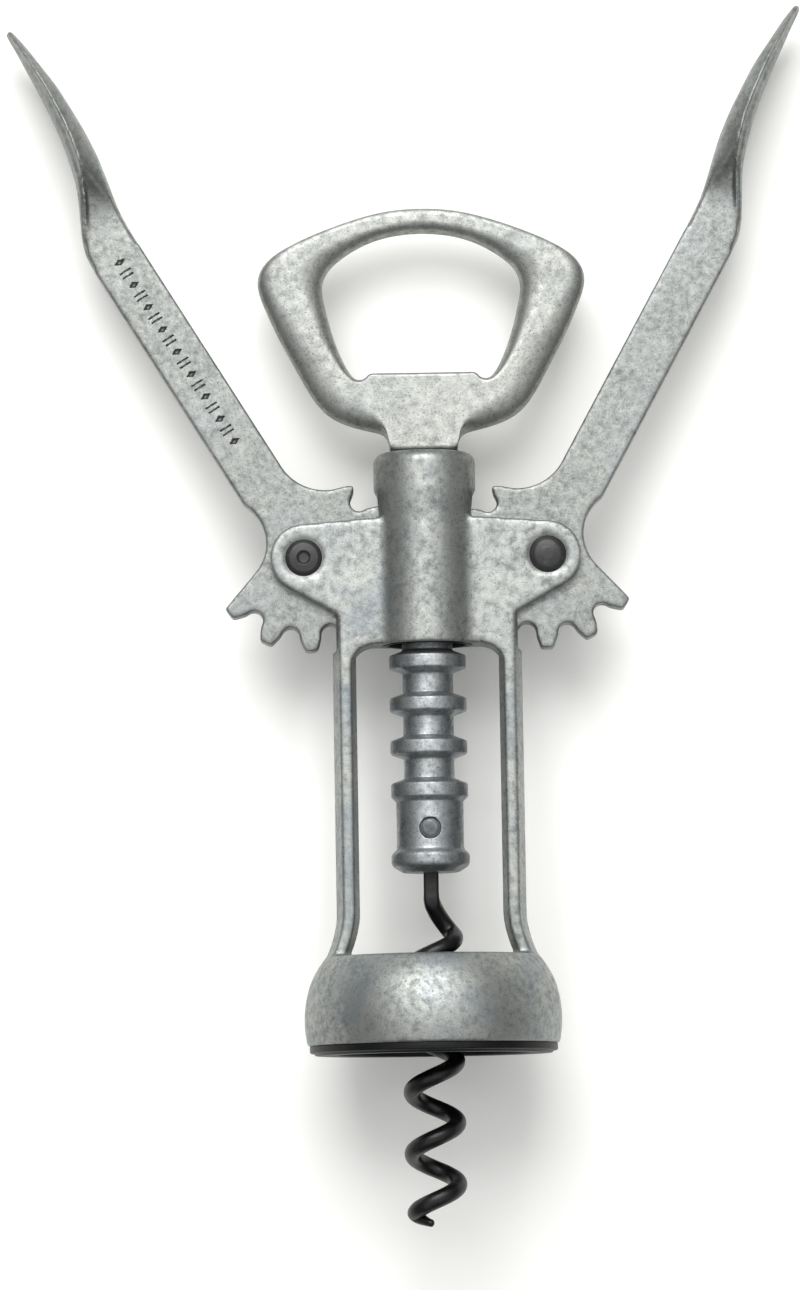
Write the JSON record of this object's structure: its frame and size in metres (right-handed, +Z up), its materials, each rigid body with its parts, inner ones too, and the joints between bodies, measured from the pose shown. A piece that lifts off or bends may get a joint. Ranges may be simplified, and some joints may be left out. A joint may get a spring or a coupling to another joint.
{
  "type": "lever corkscrew",
  "caption": "Winged corkscrew: a worm in a bell-mouthed frame, a round rack lifted by toothed side levers, and a turning handle with a bottle-opener loop.",
  "frame": {"origin": "centre of the bell's mouth, in the plane of the black ring that rests on the bottle", "axes": "+Z up the screw's axis towards the handle, the flat front of the frame faces -Y, the levers swing in the XZ plane"},
  "size_m": [0.1279, 0.0412, 0.1952],
  "materials": {
    "cast_zinc": "die-cast zinc alloy, tumbled and left dull, mottled grey",
    "lever_zinc": "die-cast zinc alloy, tumbled and left dull, mottled grey",
    "head_zinc": "die-cast zinc alloy, tumbled and left dull, mottled grey",
    "rack_zinc": "turned zinc alloy, dull, slightly bluer than the castings",
    "black_rivet": "black-oxided steel, satin",
    "black_wire": "black non-stick coating on steel wire, satin",
    "pin_steel": "dull steel",
    "black_plastic": "moulded black plastic, satin",
    "bush_plastic": "moulded black plastic, dull"
  },
  "bodies": {
    "frame": {"frame": "cast_zinc", "bell_insert": "black_plastic", "rivet_left": "black_rivet", "rivet_right": "black_rivet"},
    "bush": {"guide_bush": "bush_plastic"},
    "screw": {"rack_shaft": "rack_zinc", "worm": "black_wire", "worm_pin": "pin_steel", "opener_head": "head_zinc", "head_pin": "pin_steel"},
    "lever_left": {"lever_left": "lever_zinc"},
    "lever_right": {"lever_right": "lever_zinc"}
  },
  "joints": [
    {"name": "handle_turn", "type": "hinge", "parent": "frame", "child": "bush", "pos_m": [0, 0, 0.067], "axis": [0, 0, 1], "continuous": true},
    {"name": "rack_lift", "type": "slide", "parent": "bush", "child": "screw", "axis": [0, 0, 1], "range_m": [-0.0012, 0.0325]},
    {"name": "left_lever_swing", "type": "hinge", "parent": "frame", "child": "lever_left", "pos_m": [-0.01952, 0, 0.0795], "axis": [0, -1, 0], "range_deg": [-6, 140]},
    {"name": "right_lever_swing", "type": "hinge", "parent": "frame", "child": "lever_right", "pos_m": [0.01952, 0, 0.0795], "axis": [0, 1, 0], "range_deg": [-6, 140]}
  ],
  "couplings": [
    {"joint": "left_lever_swing", "follows": "rack_lift", "rad_per_m": 74.4},
    {"joint": "right_lever_swing", "follows": "rack_lift", "rad_per_m": 74.4}
  ]
}
